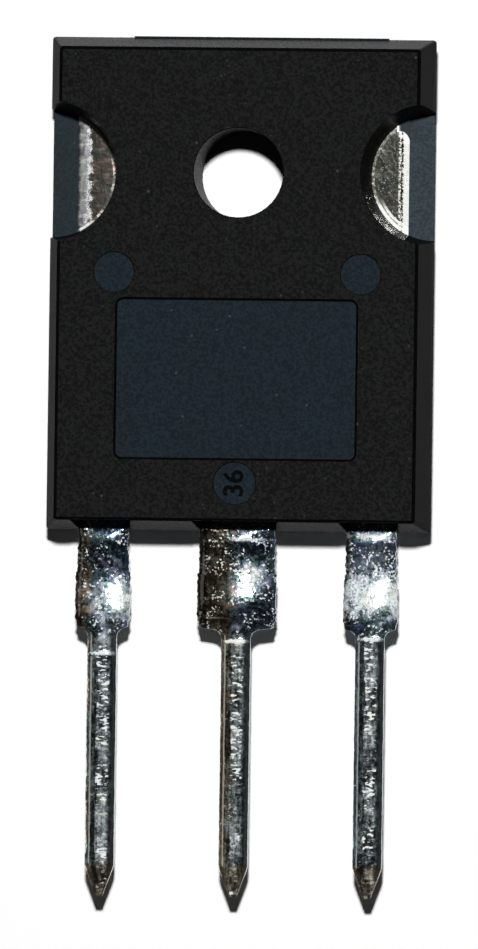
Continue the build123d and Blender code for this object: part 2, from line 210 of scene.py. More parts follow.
class Finish:
    """One node material. Lengths are millimetres on the part. Where a value is asked for, it is
    a number, a colour or another node's output."""

    def __init__(self, name):
        self.material = bpy.data.materials.new(name)
        self.material.use_nodes = True
        self.tree = self.material.node_tree
        self.shader = self.tree.nodes["Principled BSDF"]
        self.place = self.node("Mapping")
        self.place.inputs["Scale"].default_value = (1 / MM,) * 3
        self.give(self.place.inputs["Vector"], self.node("TexCoord").outputs["Object"])
        self.normal = None

    def node(self, kind, **settings):
        node = self.tree.nodes.new("ShaderNode" + kind)
        for key, value in settings.items():
            setattr(node, key, value)
        return node

    def give(self, socket, value):
        """Links an output to a socket, or sets the socket to a number or colour."""
        if isinstance(value, bpy.types.NodeSocket):
            self.tree.links.new(value, socket)
        else:
            socket.default_value = value

    def set(self, **values):
        """Gives values to the shader's own sockets."""
        for key, value in values.items():
            self.give(self.shader.inputs[SOCKETS[key]], value)

    def moved(self, **mapping):
        """The place on the part, turned, stretched or shifted."""
        node = self.node("Mapping")
        for key, value in mapping.items():
            node.inputs[key].default_value = value
        self.give(node.inputs["Vector"], self.place.outputs["Vector"])
        return node.outputs["Vector"]

    def grain(self, size, detail=3, stretch=(1, 1, 1), turn=0):
        """Cloudy noise, from about 0.3 to 0.7, with features of one size."""
        node = self.node("TexNoise")
        node.inputs["Scale"].default_value = 1 / size
        node.inputs["Detail"].default_value = detail
        moved = self.moved(Scale=stretch, Rotation=(0, 0, math.radians(turn)))
        self.give(node.inputs["Vector"], moved)
        return node.outputs["Fac"]

    def spread(self, size, detail, low, high, **shape):
        """The same noise, from 0 where it is low or less to 1 where it is high or more."""
        return self.remap(self.grain(size, detail, **shape), low, high)

    def specks(self, size):
        """Distance from scattered points that are about this far apart."""
        node = self.node("TexVoronoi")
        node.inputs["Scale"].default_value = 1 / size
        self.give(node.inputs["Vector"], self.place.outputs["Vector"])
        return node.outputs["Distance"]

    def along(self, axis):
        """The place on the part along one axis, in millimetres."""
        node = self.node("SeparateXYZ")
        self.give(node.inputs["Vector"], self.place.outputs["Vector"])
        return node.outputs[axis]

    def distance(self, centre, reach):
        """How far from a place on the part, in shares of its reach along X and Y."""
        (x, y), (reach_x, reach_y) = centre, reach
        moved = self.moved(
            Scale=(1 / reach_x, 1 / reach_y, 0), Location=(-x / reach_x, -y / reach_y, 0)
        )
        node = self.node("VectorMath", operation="LENGTH")
        self.give(node.inputs[0], moved)
        return node.outputs["Value"]

    def remap(self, source, low, high, start=0.0, end=1.0):
        """A value that runs smoothly from start to end while source runs from low to high."""
        node = self.node("MapRange", interpolation_type="SMOOTHSTEP")
        self.give(node.inputs["Value"], source)
        ranges = {"From Min": low, "From Max": high, "To Min": start, "To Max": end}
        for key, value in ranges.items():
            node.inputs[key].default_value = value
        return node.outputs["Result"]

    def between(self, share, first, second):
        """A value that runs smoothly from first to second while share goes from 0 to 1."""
        return self.remap(share, 0, 1, first, second)

    def band(self, source, centre, half_width):
        """1 within half of a band's half width from its centre, falling to 0 at its edges."""
        rising = self.remap(source, centre - half_width, centre - half_width / 2)
        falling = self.remap(source, centre + half_width, centre + half_width / 2)
        return self.times(rising, falling)

    def patch(self, centre, reach, ragged):
        """A soft patch: 1 at its centre, down to 0 at its reach, with a ragged outline."""
        away = self.plus(self.distance(centre, reach), ragged)
        return self.remap(away, 1.0, 0.0)

    def maths(self, operation, first, second):
        node = self.node("Math", operation=operation)
        self.give(node.inputs[0], first)
        self.give(node.inputs[1], second)
        return node.outputs["Value"]

    def times(self, *values):
        return reduce(lambda first, second: self.maths("MULTIPLY", first, second), values)

    def plus(self, *values):
        return reduce(lambda first, second: self.maths("ADD", first, second), values)

    def opposite(self, share):
        return self.maths("SUBTRACT", 1.0, share)

    def clamped(self, value):
        """A sum of masks, held between 0 and 1."""
        result = self.plus(value, 0)
        result.node.use_clamp = True
        return result

    def mix(self, share, first, second, blend="MIX"):
        """Colour that goes from first to second as share goes from 0 to 1."""
        node = self.node("Mix", data_type="RGBA", blend_type=blend)
        for place, value in zip(MIXED_COLOURS, (share, first, second)):
            self.give(node.inputs[place], value)
        return node.outputs[COLOUR_OUTPUT]

    def mixed_value(self, share, first, second):
        """The same for numbers."""
        node = self.node("Mix")
        for place, value in zip(MIXED_NUMBERS, (share, first, second)):
            self.give(node.inputs[place], value)
        return node.outputs[0]

    def oxide(self, level, tint, covered=0.0):
        """Metal under a dull film that alone would show at this level, from 0 for black to 1.
        Where something covers it there is no metal, only the tint."""
        share = self.maths("POWER", self.clamped(level), DISPLAY_GAMMA)
        self.set(metallic=self.mixed_value(covered, self.opposite(share), 0.0), colour=tint)

    def bump(self, height, depth):
        """Relief of this depth in millimetres, on top of any given before."""
        node = self.node("Bump")
        node.inputs["Distance"].default_value = depth * MM
        self.give(node.inputs["Height"], height)
        if self.normal is not None:
            self.give(node.inputs["Normal"], self.normal)
        self.normal = node.outputs["Normal"]
        self.give(self.shader.inputs["Normal"], self.normal)


MOTTLE_SIZE = 0.11
TONE_CLOUDS = 1.1
REDDISH, BLUISH = (1.0, 0.93, 0.95, 1), (0.9, 0.98, 1.0, 1)


def compound(name, dark, light, gloss, roughness):
    """Black epoxy compound: a dark body colour under a thin sheen."""
    finish = Finish(name)
    finish.mottle = finish.grain(MOTTLE_SIZE)
    tone = finish.mix(finish.remap(finish.mottle, 0.38, 0.62), dark, light)
    cast = finish.mix(finish.spread(TONE_CLOUDS, 3, 0.42, 0.58), REDDISH, BLUISH)
    finish.tone = finish.mix(0.6, tone, cast, "MULTIPLY")
    finish.set(specular=gloss, colour=finish.tone)
    finish.set(roughness=finish.remap(finish.mottle, 0.3, 0.7, roughness, roughness + 0.1))
    return finish


def spark_eroded_compound():
    """The front face: matt, with the mould's spark-eroded texture and pale filler specks."""
    finish = compound("mould_compound_textured", grey(13), grey(30), gloss=0.018, roughness=0.5)
    specks = finish.remap(finish.specks(1.1), 0.07, 0.03)
    crumbs = finish.remap(finish.specks(0.4), 0.16, 0.06)
    scattered = finish.spread(0.8, 1, 0.5, 0.58)
    pale = finish.plus(finish.times(specks, 0.3), finish.times(crumbs, scattered, 0.16))
    finish.set(colour=finish.mix(pale, finish.tone, linear(100, 100, 98)))
    finish.bump(finish.mottle, 0.018)
    finish.bump(finish.grain(0.06, detail=2), 0.006)
    return finish.material


def smooth_compound(name, dark, light):
    """Recessed marks, the panel and the notch floors: the compound off polished steel."""
    finish = compound(name, linear(*dark), linear(*light), gloss=0.024, roughness=0.5)
    specks = finish.remap(finish.specks(0.9), 0.07, 0.03)
    finish.set(colour=finish.mix(finish.times(specks, 0.25), finish.tone, linear(110, 114, 116)))
    finish.bump(finish.mottle, 0.006)
    return finish.material


def wall_compound():
    """Walls of the hole and the notches, glossy where the cores drew out."""
    finish = compound("mould_compound_walls", grey(9), grey(14), gloss=0.001, roughness=0.22)
    finish.bump(finish.grain(0.25, detail=2, stretch=(1, 1, 0.3)), 0.004)
    return finish.material


def plain_compound(name, dark, light, gloss, roughness, relief):
    """The other faces: drafted ends and flanks, the back, and the rims and digits, whose darker
    colour is painted shade.
    """
    finish = compound(name, grey(dark), grey(light), gloss, roughness)
    finish.bump(finish.mottle, relief)
    return finish.material


def plate_masks(finish, side):
    """What the plating in both notches shares: noises, places and the pale band of painted
    highlight at its edge.
    """
    masks = SimpleNamespace()
    masks.rolling = finish.spread(0.09, 3, 0.3, 0.7, stretch=(1, 0.25, 1))
    masks.grit = finish.spread(0.05, 3, 0.35, 0.65)
    masks.clouds = finish.spread(0.35, 4, 0.38, 0.62)
    masks.beads = finish.spread(0.16, 3, 0.44, 0.58)
    masks.along = finish.along("Y")
    masks.foot = finish.distance((side * BODY_HALF_WIDTH, 0), (NOTCH_FOOT_R, NOTCH_FOOT_R))
    masks.ring = finish.band(masks.foot, *FOOT_RING[side])
    # How far in from the metal's outer edge, plainly and with a wandering, frayed line.
    masks.line = finish.plus(finish.times(finish.along("X"), -side), PLATE_HALF_WIDTH)
    sway = finish.times(finish.plus(masks.clouds, -0.5), -BAND_SWAY[side])
    fray = finish.times(finish.plus(masks.grit, -0.5), -BAND_FRAY)
    masks.frayed_line = finish.plus(masks.line, sway, fray)
    masks.band = finish.remap(masks.frayed_line, *PALE_BAND[side])
    return masks


def left_plate(finish, masks):
    """Level and tint of the left metal: a pale shelf with a bright crest, a glint and a foot line,
    all painted highlight, dull further in.
    """
    ends = finish.plus(finish.band(masks.along, 0.0, 0.9), finish.remap(masks.along, -1.2, -1.6))
    # The bright line at the notch's foot, stronger at its ends: painted highlight.
    ring = finish.times(masks.ring, finish.between(masks.beads, 0.12, 0.55))
    ring = finish.times(ring, finish.plus(finish.clamped(ends), 0.2))
    # The pale shelf and its bright crest along the outer edge: painted highlight.
    edge = finish.remap(masks.line, -0.03, 0.14)
    shelf = finish.times(masks.band, edge, finish.between(masks.rolling, 0.27, 0.37))
    crest = finish.band(masks.frayed_line, PALE_CREST, 0.16)
    crest = finish.times(crest, finish.between(masks.grit, 0.08, 0.42))
    # A painted glint near the top.
    painted_glint = finish.times(finish.patch(*LEFT_GLINT, finish.times(masks.grit, 0.4)), 0.7)
    blotches = finish.between(masks.clouds, 0.02, 0.2)
    scratches = finish.spread(0.14, 4, 0.52, 0.62, stretch=(0.3, 1, 1), turn=-30)
    inner = finish.times(finish.remap(masks.line, 0.85, 1.6), 0.08)
    dull = finish.plus(blotches, finish.times(scratches, 0.13), inner, 0.08)
    level = finish.plus(ring, shelf, crest, painted_glint, dull)
    cool = finish.mix(masks.clouds, linear(238, 232, 242), linear(232, 238, 232))
    warm = finish.mix(masks.clouds, linear(234, 236, 226), linear(240, 218, 202))
    return level, finish.mix(masks.band, warm, cool)


def right_plate(finish, masks):
    """Level, tint and covered share of the right metal, with painted highlights: a white band, a
    dotted line beside it, sparks, a glint and curved strokes at its foot; a dotted line of painted
    shade beside the band; and a corner that the moulding runs over."""
    # The bright line at the notch's foot: painted highlight.
    ring = finish.times(masks.ring, finish.between(masks.beads, 0.2, 0.45))
    # Curved strokes near the foot: painted highlight.
    strokes = finish.plus(
        finish.band(masks.foot, 0.975, 0.045), finish.band(masks.foot, 0.91, 0.03)
    )
    strokes = finish.times(strokes, finish.remap(masks.along, *STROKES_Y), 0.8)
    # A painted glint.
    painted_glint = finish.times(finish.patch(*RIGHT_GLINT, finish.times(masks.grit, 0.5)), 0.5)
    # A dotted line of painted highlight and a dotted dark line of painted shade beside the band.
    dots = finish.spread(0.09, 2, 0.42, 0.55)
    gaps = finish.spread(0.08, 2, 0.44, 0.56, turn=40)
    white = finish.times(finish.band(masks.line, HIGHLIGHT_LINE, 0.08), dots, 0.8)
    black = finish.times(finish.band(masks.line, SHADE_LINE, 0.07), gaps, -0.9)
    # Sparks: small painted glints.
    sparks = finish.spread(0.075, 2, 0.55, 0.63, turn=15)
    sparks = finish.times(sparks, finish.between(masks.clouds, 0.1, 0.45))
    dull = finish.between(masks.grit, 0.08, 0.2)
    # The pale band along the outer edge: painted highlight.
    pale = finish.times(masks.band, 0.8)
    level = finish.plus(ring, strokes, painted_glint, dull, sparks, white, pale, black)

    corner = finish.distance((PLATE_HALF_WIDTH - CORNER_LINE, CORNER_Y), CORNER_REACH)
    above = finish.remap(masks.along, CORNER_Y, CORNER_Y + 0.08)
    beside = finish.remap(masks.line, CORNER_LINE + 0.15, CORNER_LINE - 0.05)
    above = finish.times(above, beside)
    scraped = finish.times(above, finish.remap(corner, 0.45, 0.7), 0.8)
    covered = finish.times(above, finish.remap(corner, 1.0, 1.1))
    level = finish.clamped(finish.plus(level, scraped))
    tint = finish.mix(masks.clouds, linear(240, 234, 214), linear(228, 238, 226))
    # Near-white where the painted highlights make it light.
    tint = finish.mix(finish.remap(level, 0.4, 0.9), tint, linear(250, 250, 246))
    return level, finish.mix(covered, tint, linear(26, 40, 46)), covered


def rolled_tin(name, side):
    """Tin plate in a notch: dark with rolling grain, with a pale painted highlight along its outer
    edge.
    """
    finish = Finish(name)
    masks = plate_masks(finish, side)
    roughness = finish.between(masks.clouds, *PLATE_ROUGHNESS[side])
    if side > 0:
        level, tint, covered = right_plate(finish, masks)
        finish.oxide(level, tint, covered)
        roughness = finish.mixed_value(covered, roughness, 0.8)
    else:
        finish.oxide(*left_plate(finish, masks))
    finish.set(roughness=roughness)
    finish.bump(masks.rolling, 0.0006)
    finish.bump(finish.grain(0.12), 0.0012)
    return finish.material


def satin_tin():
    """Tin plate on the heat spreader's back: grey satin with rolling lines and stains."""
    finish = Finish("tinned_copper_satin")
    finish.set(metallic=1.0)
    rolling = finish.grain(0.06, stretch=(1, 0.12, 1))
    stain = finish.times(finish.spread(1.1, 4, 0.5, 0.68), 0.5)
    tone = finish.mix(rolling, linear(120, 119, 110), linear(160, 158, 150))
    finish.set(colour=finish.mix(stain, tone, linear(100, 88, 70)))
    finish.set(roughness=finish.remap(rolling, 0.3, 0.7, 0.3, 0.45))
    finish.bump(rolling, 0.003)
    finish.bump(finish.grain(0.1, detail=2), 0.008)
    return finish.material


def solder_masks(finish, x):
    """Noises and places on a lead whose centre line is at x."""
    masks = SimpleNamespace()
    masks.patches = finish.spread(0.4, 5, 0.35, 0.65)
    masks.fine = finish.spread(0.07, 4, 0.36, 0.64)
    masks.streaks = finish.spread(0.14, 4, 0.36, 0.64, stretch=(1, 0.14, 1))
    masks.hollows = finish.spread(0.17, 3, 0.43, 0.53)
    masks.grains = finish.specks(0.2)
    masks.across = finish.plus(finish.along("X"), -x)
    masks.along = finish.along("Y")
    masks.pin = finish.remap(masks.along, SHOULDER_Y - 0.1, SHOULDER_Y - 0.6)
    masks.tip = finish.remap(masks.along, TAPER_Y + 0.3, TAPER_Y - 0.1)
    return masks


def highlight_patches(finish, masks, x, painted_highlights):
    """Ragged patches of painted highlight, scratched and grained."""
    ragged = finish.plus(finish.times(masks.patches, 0.4), finish.times(masks.fine, 0.35), -0.4)
    patches = [
        finish.times(finish.patch((x + dx, y), (reach_x, reach_y), ragged), strength)
        for dx, y, reach_x, reach_y, strength in painted_highlights
    ]
    scratches = finish.spread(0.1, 4, 0.4, 0.6, stretch=(1, 0.3, 1), turn=-35)
    texture = finish.plus(finish.between(masks.fine, 0.68, 0.86), finish.times(scratches, 0.14))
    return finish.times(finish.clamped(finish.plus(*patches)), texture)


def solder_level(finish, masks, highlight_level):
    """How light the solder is: a dark film, painted highlights as patches, a streak with dashes
    along the pin, blobs and sparkling dots, and painted shade on the pin's right side.
    """
    film = finish.plus(finish.between(masks.fine, 0.0, 0.2), finish.times(masks.patches, 0.12))
    film = finish.times(film, finish.between(masks.hollows, 0.25, 1.0))
    # A painted highlight streak along the pin, right of its centre line, with dashes in it.
    column = finish.plus(masks.across, finish.times(masks.streaks, 0.1))
    column = finish.band(column, 0.12, 0.3)
    glow = finish.times(finish.spread(1.4, 2, 0.46, 0.56), column, 0.3)
    pin_film = finish.plus(finish.between(masks.streaks, 0.0, 0.22), glow)
    clustered = finish.plus(finish.spread(1.1, 2, 0.48, 0.58, turn=20), 0.25)
    dashes = finish.spread(0.12, 3, 0.52, 0.6, stretch=(0.4, 1, 1))
    dashes = finish.times(dashes, column, clustered)
    # Painted glints: bright blobs off the pin and dots, fainter on the pin.
    gathered = finish.spread(0.45, 2, 0.46, 0.58)
    blobs = finish.times(finish.spread(0.11, 4, 0.55, 0.63), gathered, 0.9)
    dots = finish.times(finish.remap(masks.grains, 0.3, 0.14), gathered)
    dots = finish.times(dots, finish.between(masks.pin, 0.6, 0.2))
    # Painted shade on the pin's right side.
    painted_shade = finish.times(finish.remap(masks.across, 0.25, 0.5), masks.pin)
    level = finish.plus(
        film,
        highlight_level,
        finish.times(masks.pin, pin_film),
        finish.mixed_value(masks.pin, blobs, dashes),
        dots,
    )
    level = finish.times(level, finish.between(masks.tip, 1.0, 0.9))
    return finish.times(level, finish.between(painted_shade, 1.0, 0.5))


def solder_tint(finish, masks, level, brown):
    """Blue-green film, brown on the left and at the tip, and near-white where the level and its
    painted highlights are high.
    """
    broad = finish.spread(0.9, 3, 0.4, 0.6)
    cool = finish.mix(masks.patches, linear(158, 186, 234), linear(184, 228, 222))
    cool = finish.mix(finish.times(broad, 0.4), cool, linear(216, 196, 234))
    cool = finish.mix(finish.times(masks.pin, 0.7), cool, linear(224, 236, 230))
    warm = finish.mix(masks.patches, linear(238, 206, 178), linear(234, 226, 200))
    warm = finish.mix(finish.times(masks.pin, 0.8), warm, linear(238, 226, 204))
    left = finish.plus(masks.across, finish.times(masks.patches, 0.4))
    left = finish.remap(left, brown + 0.3, brown - 0.3)
    stained = finish.mix(finish.clamped(finish.plus(left, masks.tip)), cool, warm)
    highlight_tint = finish.mix(broad, linear(238, 238, 232), linear(228, 238, 240))
    return finish.mix(finish.remap(level, 0.4, 0.95), stained, highlight_tint)


def dipped_solder(name, x, wide_half, brown, painted_highlights):
    """Hot-dipped solder on a lead: dark and smooth, with sparkling grains and pale patches of
    painted highlight, and painted shade along its edges.
    """
    finish = Finish(name)
    masks = solder_masks(finish, x)
    highlight_level = highlight_patches(finish, masks, x, painted_highlights)
    level = solder_level(finish, masks, highlight_level)
    tint = solder_tint(finish, masks, level, brown)
    # A greyer, darker colour along the wide part's left edge, weaker under the painted highlights:
    # painted shade.
    edge_shade = finish.remap(masks.across, -0.74 * wide_half, -0.84 * wide_half)
    edge_shade = finish.times(edge_shade, finish.between(highlight_level, 0.9, 0.3))
    finish.oxide(level, finish.mix(edge_shade, tint, linear(90, 88, 84)))
    finish.set(roughness=finish.between(masks.hollows, 0.042, 0.072))
    finish.bump(finish.remap(masks.grains, 0.5, 0.0), 0.003)
    finish.bump(finish.grain(0.3), 0.005)
    finish.bump(masks.streaks, 0.001)
    return finish.material


def plain_metal(name, dark, light, size, roughness):
    """A bare inner piece, finished with fine grain."""
    finish = Finish(name)
    grain = finish.grain(size)
    finish.set(metallic=1.0, colour=finish.mix(grain, dark, light))
    finish.set(roughness=finish.remap(grain, 0.3, 0.7, roughness, roughness + 0.1))
    finish.bump(grain, 0.002)
    return finish.material


PAPER_TONES = ((0.79, 0.79, 0.79, 1), (0.81, 0.81, 0.81, 1))
PAPER_CLOUDS = 6.0
BOUNCED = (0.15, 0.15, 0.15, 1)
WHITE = (1, 1, 1, 1)


def paper():
    """Pale sheet that the part lies on: white to the camera and in the part's reflections,
    pale in the light that it bounces, and dark where a bounce is mirrored into the shadow."""
    finish = Finish("pale_sheet")
    finish.set(roughness=0.9, specular=0.0)
    rays = finish.node("LightPath").outputs
    glossy = rays["Is Glossy Ray"]
    direct = finish.remap(rays["Diffuse Depth"], 1, 0)
    seen = finish.plus(rays["Is Camera Ray"], glossy, rays["Is Transmission Ray"])
    pale = finish.mix(finish.grain(PAPER_CLOUDS), *PAPER_TONES)
    mirrored = finish.times(glossy, finish.opposite(direct))
    pale = finish.mix(mirrored, pale, BOUNCED)
    finish.set(colour=finish.mix(finish.times(seen, direct), pale, WHITE))
    return finish.material


# ---------------------------------------------------------------- geometry


def add_piece(name, mesh_builder, materials):
    """Turns a bmesh in millimetres into a piece of the part."""
    mesh = bpy.data.meshes.new(name)
    bmesh.ops.scale(mesh_builder, vec=(MM,) * 3, verts=mesh_builder.verts)
    mesh_builder.to_mesh(mesh)
    mesh_builder.free()
    mesh.shade_smooth()
    mesh.set_sharp_from_angle(angle=SHARP_ANGLE)
    piece = bpy.data.objects.new(name, mesh)
    bpy.context.scene.collection.objects.link(piece)
    for material in materials:
        mesh.materials.append(material)
    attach(piece, "root")
    return piece


def copy_in_millimetres(node):
    """The CAD node's surface as a bmesh, with its flat faces made whole."""
    copied = bmesh.new()
    copied.from_mesh(frame["nodes"][node].data)
    bmesh.ops.scale(copied, vec=(1 / MM,) * 3, verts=copied.verts)
    bmesh.ops.remove_doubles(copied, verts=copied.verts, dist=SAME_POINT)
    bmesh.ops.dissolve_limit(
        copied, angle_limit=FLAT_ANGLE, verts=copied.verts, edges=copied.edges
    )
    return copied


def round_edges(copied, wanted, radius):
    """Rounds the crisp outer edges that have room for it."""
    def roomy(edge):
        near = [e for v in edge.verts for e in v.link_edges]
        return min(e.calc_length() for e in near) > SHORT_EDGE

    chosen = [
        edge
        for edge in copied.edges
        if edge.is_manifold
        and edge.is_convex
        and edge.calc_face_angle() > ROUNDED_ANGLE
        and wanted(edge)
        and roomy(edge)
    ]
    bmesh.ops.bevel(
        copied,
        geom=chosen,
        offset=radius,
        offset_type="OFFSET",
        segments=EDGE_SEGMENTS,
        profile=0.5,
        affect="EDGES",
        clamp_overlap=False,
    )


def at_level(value, level):
    return abs(value - level) < LEVEL_SLACK


def weigh_normals(mesh):
    """Gives each corner the normal of its larger faces, so flat faces stay flat."""
    weighed = bmesh.new()
    weighed.from_mesh(mesh)
    crease = math.cos(SHARP_ANGLE)
    normals = []
    for face in weighed.faces:
        for loop in face.loops:
            near = [f for f in loop.vert.link_faces if f.normal.dot(face.normal) > crease]
            total = sum((f.normal * f.calc_area() for f in near), Vector())
            normals.append((total or face.normal).normalized())
    weighed.free()
    mesh.normals_split_custom_set(normals)


def on_mark_rim(edge):
    """Whether an edge of the front face runs round one of the round marks."""
    for mark in ROUND_MARKS:
        if all(at_level(v.co.z, FRONT_Z) and (v.co.xy - mark).length < MARK_R for v in edge.verts):
            return True
    return False


def body_zone(face):
    """Which of the moulding's finishes a face has, from where it is and which way it faces."""
    textured, smooth, left_strip, right_strip, walls, top, bottom, flanks, rims = range(9)
    centre, normal = face.calc_center_median(), face.normal
    from_notch = (Vector((abs(centre.x), centre.y)) - Vector((BODY_HALF_WIDTH, 0))).length
    from_hole = centre.xy.length
    sideways = abs(normal.z) < SIDE_FACING
    in_front = centre.z > LOWEST_FLOOR_Z
    if normal.z > FLOOR_FACING and at_level(centre.z, FRONT_Z):
        return textured
    if normal.z > FLOOR_FACING and in_front:
        if from_notch < NOTCH_FOOT_R:
            return right_strip if centre.x > 0 else left_strip
        return smooth
    # Rounded rims of the front and its marks, given a darker compound: painted shade.
    if centre.z > FRONT_Z - RIM_DEPTH and normal.z > RIM_FACING:
        return rims
    if sideways and in_front and from_notch < NOTCH_FOOT_R + NOTCH_WALL_LEAN:
        return walls
    if sideways and from_hole < HOLE_WALL_R:
        return walls
    if sideways and abs(normal.y) > abs(normal.x):
        return top if normal.y > 0 else bottom
    return flanks


def in_front_half(edge):
    """Whether an edge lies in front of the parting line, or on it."""
    return all(v.co.z > PARTING_Z - LEVEL_SLACK for v in edge.verts)


def moulded_body():
    """The moulding, with its textured front and the smooth marks in it."""
    copied = copy_in_millimetres("moulded_body")
    round_edges(copied, on_mark_rim, MARK_RIM_ROUND)
    round_edges(copied, in_front_half, EDGE_ROUND)
    copied.normal_update()
    for face in copied.faces:
        face.material_index = body_zone(face)
    # In the order of body_zone's names.
    finishes = [
        spark_eroded_compound(),
        smooth_compound("mould_compound_smooth", (17, 27, 32), (30, 40, 47)),
        smooth_compound("mould_compound_left_strip", (31, 41, 45), (42, 50, 54)),
        smooth_compound("mould_compound_right_strip", (44, 54, 59), (60, 69, 73)),
        wall_compound(),
        plain_compound("mould_compound_top", 20, 28, gloss=0.007, roughness=0.25, relief=0.001),
        plain_compound("mould_compound_bottom", 20, 28, gloss=0.002, roughness=0.25, relief=0.001),
        plain_compound("mould_compound_flanks", 20, 28, gloss=0.007, roughness=0.5, relief=0.003),
        # The rims' darker colour is painted shade.
        plain_compound("mould_compound_rims_painted_shade", 5, 10, gloss=0.008, roughness=0.7, relief=0.006),
    ]
    piece = add_piece("moulded_body_dressed", copied, finishes)
    weigh_normals(piece.data)
    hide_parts("moulded_body")


def cavity_number():
    """Plain mould cavity number, raised in the round mark and read from the side."""
    text = bpy.data.curves.new("cavity_number", "FONT")
    text.body = CAVITY_NUMBER
    text.align_x = "CENTER"
    text.align_y = "CENTER"
    text.size = DIGIT_HEIGHT * MM
    text.extrude = DIGIT_PROUD * MM
    text.bevel_depth = DIGIT_ROUND * MM
    text.bevel_resolution = 2
    source = bpy.data.objects.new("cavity_number_text", text)
    bpy.context.scene.collection.objects.link(source)
    bpy.context.view_layer.update()
    solid_text = source.evaluated_get(bpy.context.evaluated_depsgraph_get())
    mesh = bpy.data.meshes.new_from_object(solid_text)
    bpy.data.objects.remove(source)
    digits = bmesh.new()
    digits.from_mesh(mesh)
    bmesh.ops.scale(digits, vec=(1 / MM,) * 3, verts=digits.verts)
    turned = Matrix.Rotation(math.radians(90), 3, "Z")
    bmesh.ops.rotate(digits, cent=(0, 0, 0), matrix=turned, verts=digits.verts)
    bmesh.ops.translate(digits, vec=CAVITY_MARK, verts=digits.verts)
    # The digits' darker colour is painted shade.
    dark = plain_compound("mould_compound_digits_painted_shade", 5, 10, gloss=0.02, roughness=0.7, relief=0.006)
    add_piece("cavity_number", digits, [dark])


def rounded_line(points, radii):
    """A polyline with its inner corners turned into arcs."""
    line = [Vector(points[0])]
    for before, corner, after, radius in zip(points, points[1:], points[2:], radii):
        before, corner, after = Vector(before), Vector(corner), Vector(after)
        back, ahead = (before - corner).normalized(), (after - corner).normalized()
        turn = math.pi - back.angle(ahead)
        if radius <= 0 or turn < 1e-3:
            line.append(corner)
            continue
        reach = radius * math.tan(turn / 2)
        centre = corner + (back + ahead).normalized() * radius / math.cos(turn / 2)
        start, end = corner + back * reach - centre, corner + ahead * reach - centre
        steps = max(3, round(turn / ARC_STEP))
        for step in range(steps + 1):
            share = step / steps
            mixed = start * math.sin((1 - share) * turn) + end * math.sin(share * turn)
            line.append(centre + mixed / math.sin(turn))
    line.append(Vector(points[-1]))
    return line


def evenly(line, step):
    """Points along a polyline, close together, with its ends kept."""
    places = np.array([tuple(p) for p in line])
    run = np.concatenate([[0], np.cumsum(np.linalg.norm(np.diff(places, axis=0), axis=1))])
    count = round(run[-1] / step)
    at = np.linspace(0, run[-1], count + 1)
    return np.stack([np.interp(at, run, places[:, k]) for k in range(2)], axis=1)


def lead_outline(wide_half):
    """Half widths and places along one lead, from inside the body to its tip."""
    stub_half = wide_half + STUB_PROUD
    corners = [
        (wide_half, LEAD_INNER_Y, 0),
        (wide_half, STUB_TOP_Y, STUB_STEP),
        (stub_half, STUB_TOP_Y - STUB_STEP, STUB_STEP),
        (stub_half, STUB_BOTTOM_Y, STUB_STEP),
        (wide_half, STUB_BOTTOM_Y - STUB_STEP, STUB_STEP),
        (wide_half, SHOULDER_Y, SHOULDER_CORNER_R),
        (PIN_HALF, SHOULDER_Y - SHOULDER_DROP, SHOULDER_ROOT_R),
        (PIN_HALF, TAPER_Y, TAPER_R),
        (TIP_HALF, TIP_Y, 0),
    ]
    points = [corner[:2] for corner in corners]
    radii = [corner[2] for corner in corners[1:-1]]
    return evenly(rounded_line(points, radii), STATION_STEP)


def ramp(values, start, end):
    """0 before start and 1 after end, smoothly, whichever way they run."""
    share = np.clip((values - start) / (end - start), 0, 1)
    return share * share * (3 - 2 * share)


def bump_at(values, place, width):
    return np.exp(-(((values - place) / width) ** 2))


def lumps(points, size, seed):
    """Smooth noise from -1 to 1 at each point, with lumps of this size."""
    shift = Vector((seed * 7.3, seed * 3.1, seed * 5.7))
    return np.array([noise.noise(Vector(p) / size + shift) for p in points])


def coat_rise(y, tip, crest_y, ridge_y):
    """How far the coat stands proud of the lead's front: its collar, swell and ridge."""
    collar = COLLAR_RISE * bump_at(y, COLLAR_Y, COLLAR_LENGTH)
    swell = SWELL_RISE * bump_at(y, crest_y, SWELL_LENGTH) * (1 - ramp(y, crest_y, SWELL_END_Y))
    ridge = RIDGE_RISE * bump_at(y, ridge_y, RIDGE_LENGTH)
    return (COAT_THICKNESS + collar + swell + ridge) * (1 - tip) * ramp(y, *RISE_STARTS)


